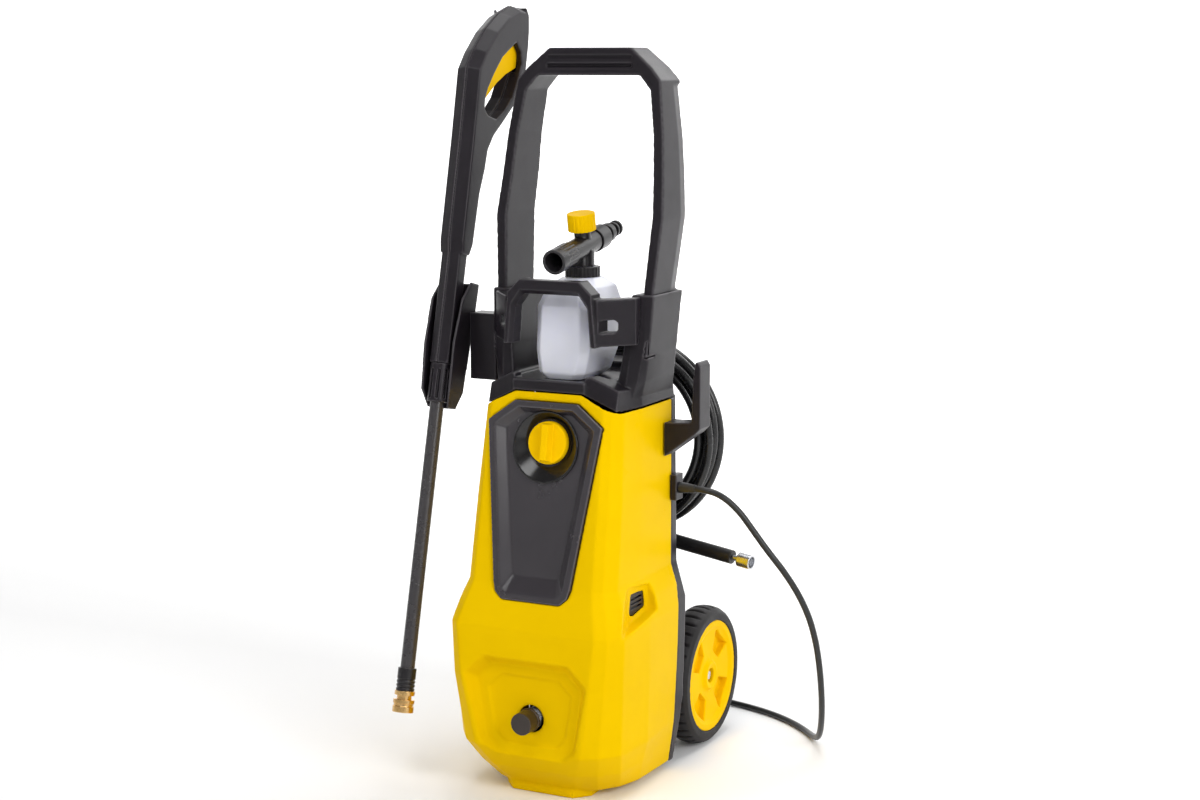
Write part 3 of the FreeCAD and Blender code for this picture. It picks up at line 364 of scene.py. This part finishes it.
CORD_ROUTE = [
    (0.1100, 0.0570, 0.3360), (0.1310, 0.0570, 0.3364), (0.1510, 0.0616, 0.3299), (0.1695, 0.0680, 0.3125), (0.1848, 0.0716, 0.2912),
    (0.2016, 0.0766, 0.2672), (0.2195, 0.0836, 0.2432), (0.2341, 0.0936, 0.2155), (0.2438, 0.1046, 0.1855), (0.2482, 0.1154, 0.1532),
    (0.2489, 0.1262, 0.1208), (0.2468, 0.1390, 0.0886), (0.2420, 0.1545, 0.0585), (0.2340, 0.1730, 0.0315), (0.2220, 0.1970, 0.0125),
    (0.2050, 0.2230, 0.0044), (0.1820, 0.2480, 0.0039), (0.1540, 0.2700, 0.0039), (0.1220, 0.2880, 0.0039), (0.0880, 0.3005, 0.0039),
    (0.0550, 0.3075, 0.0044), (0.0240, 0.3055, 0.0080),
]
COIL_C = (-0.005, 0.268)


def floor_coil():
    """the put-away length: layers of turns a lead's width apart"""
    pts = []
    cols = [0.0592, 0.0518, 0.0442, 0.0368]
    seq = []
    for layer in range(4):
        rr = cols if layer % 2 == 0 else cols[::-1]
        for c in rr:
            seq.append((c, 0.0040 + 0.0073 * layer))
    seq = seq[:14]
    per = 14
    a0 = math.radians(72)
    for k, (r, z) in enumerate(seq):
        for j in range(per):
            t = (j / per)
            nr, nz = seq[min(k + 1, len(seq) - 1)]
            s = max(0.0, (t - 0.72) / 0.28)
            s = s * s * (3 - 2 * s)
            rr, zz = r + (nr - r) * s, z + (nz - z) * s
            a = a0 + 2 * math.pi * t
            f = 1.0 / math.cos(math.pi / per) ** 0.5
            pts.append((COIL_C[0] + rr * f * math.cos(a), COIL_C[1] + rr * f * math.sin(a), zz))
    return pts


power = nurbs("power_lead", CORD_ROUTE + floor_coil(), 0.00375, M_CORD, "housing", ["power_cord", "power_cord_coil"])


def hose_points():
    cx, cy, cz = -0.004, 0.137, 0.380
    turns = [(0.0945, 0.0120, 0.000, 0.002), (0.1050, 0.0125, 0.001, 0.000), (0.1150, 0.0115, 0.000, -0.001),
             (0.1120, 0.0005, 0.000, 0.003), (0.1015, 0.0010, -0.001, 0.001), (0.0965, -0.0100, 0.000, 0.000), (0.1085, -0.0110, 0.002, -0.002)]
    pts = [(cx - 0.006, cy + 0.0265, cz - 0.108), (cx + 0.012, cy + 0.0262, cz - 0.1078)]
    per = 16
    for k, (r, dy, dx, dz) in enumerate(turns):
        nr, ny, nx, nz = turns[min(k + 1, len(turns) - 1)]
        for j in range(per):
            t = j / per
            if k == 0 and j < 2:
                continue
            s = max(0.0, (t - 0.62) / 0.38)
            s = s * s * (3 - 2 * s)
            if k == 0:
                e = min(1.0, t / 0.5)
                e = e * e * (3 - 2 * e)
                dyy = 0.0265 + (dy - 0.0265) * e
                rr = 0.108 + (r - 0.108) * e
            else:
                dyy, rr = dy, r
            rr += (nr - rr) * s
            dyy += (ny - dyy) * s
            a = -math.pi / 2 + 2 * math.pi * t
            f = 1.0 / math.cos(math.pi / per) ** 0.5
            pts.append((cx + dx + (nx - dx) * s + rr * f * math.cos(a), cy + dyy, cz + dz + (nz - dz) * s + rr * f * math.sin(a)))
    pts += [(cx + 0.002, cy - 0.0085, cz - 0.1165), (0.0150, 0.1340, 0.2603), (0.0290, 0.1318, 0.2587)]
    return pts


hose = nurbs("pressure_hose", hose_points(), 0.0053, M_HOSE, "housing", ["hose_coil"], 5)

# ------------------------------------------------------------------ studio
def bowl():
    """pale floor that sweeps up all round"""
    bm = bmesh.new()
    prof = [(0.0, 0.0)] + [(0.4 * k, 0.0) for k in range(1, 13)]
    prof += [(5.0 + 2.2 * math.sin(a), 2.2 - 2.2 * math.cos(a)) for a in [math.radians(7.5 * k) for k in range(0, 13)]]
    prof += [(7.2, 3.2), (7.2, 4.6)]
    seg = 72
    rings = []
    for r, z in prof[1:]:
        rings.append([bm.verts.new((r * math.cos(2 * math.pi * k / seg), r * math.sin(2 * math.pi * k / seg), z)) for k in range(seg)])
    c = bm.verts.new((0, 0, 0))
    for k in range(seg):
        bm.faces.new((c, rings[0][k], rings[0][(k + 1) % seg]))
    for a, b in zip(rings, rings[1:]):
        for k in range(seg):
            bm.faces.new((a[k], b[k], b[(k + 1) % seg], a[(k + 1) % seg]))
    me = bpy.data.meshes.new("studio_floor")
    bm.to_mesh(me)
    bm.free()
    smooth(me)
    o = link(bpy.data.objects.new("studio_floor", me))
    m = Nodes("studio_pale")
    m.b.inputs["Base Color"].default_value = (0.90, 0.90, 0.90, 1)
    m.b.inputs["Roughness"].default_value = 0.85
    m.b.inputs["Specular IOR Level"].default_value = 0.1
    # painted light: the far side of the sweep glows by emission, rising towards +Y, standing in for a lit paper roll
    sep = m.add("ShaderNodeSeparateXYZ")
    m.link(m.co, "Object", sep, "Vector")
    painted_backdrop_glow = m.add("ShaderNodeMapRange")
    painted_backdrop_glow.inputs["From Min"].default_value = 0.25
    painted_backdrop_glow.inputs["From Max"].default_value = 2.4
    painted_backdrop_glow.inputs["To Min"].default_value = 0.0
    painted_backdrop_glow.inputs["To Max"].default_value = 0.86
    m.link(sep, "Y", painted_backdrop_glow, "Value")
    m.b.inputs["Emission Color"].default_value = (1, 1, 1, 1)
    m.link(painted_backdrop_glow, "Result", m.b, "Emission Strength")
    me.materials.append(m.m)


bowl()
world = bpy.data.worlds.new("studio")
world.use_nodes = True
world.node_tree.nodes["Background"].inputs["Color"].default_value = (1.0, 1.0, 1.0, 1)
world.node_tree.nodes["Background"].inputs["Strength"].default_value = 0.20
SCN.world = world


def area(name, loc, aim, size, power_, sy=None, shine=True):
    l = bpy.data.lights.new(name, "AREA")
    l.energy = power_
    l.size = size
    if sy:
        l.shape = "RECTANGLE"
        l.size_y = sy
    o = link(bpy.data.objects.new(name, l))
    o.location = loc
    o.rotation_euler = (Vector(aim) - Vector(loc)).to_track_quat("-Z", "Y").to_euler()
    o.visible_glossy = shine
    return o


area("key_right", (2.5, -1.2, 1.7), (0, 0, 0.45), 1.0, 42.0, 1.6)
area("fill_left", (-1.9, -2.5, 1.55), (0, 0, 0.40), 0.9, 13.0, 1.2, False)
area("front_top", (0.3, -2.0, 3.0), (0, 0, 0.35), 1.2, 24.0)
area("overhead", (0.1, 0.9, 3.3), (0, 0.5, 0.0), 2.0, 50.0)
area("back", (0.6, 2.6, 2.2), (0, 0, 0.5), 1.6, 16.0)
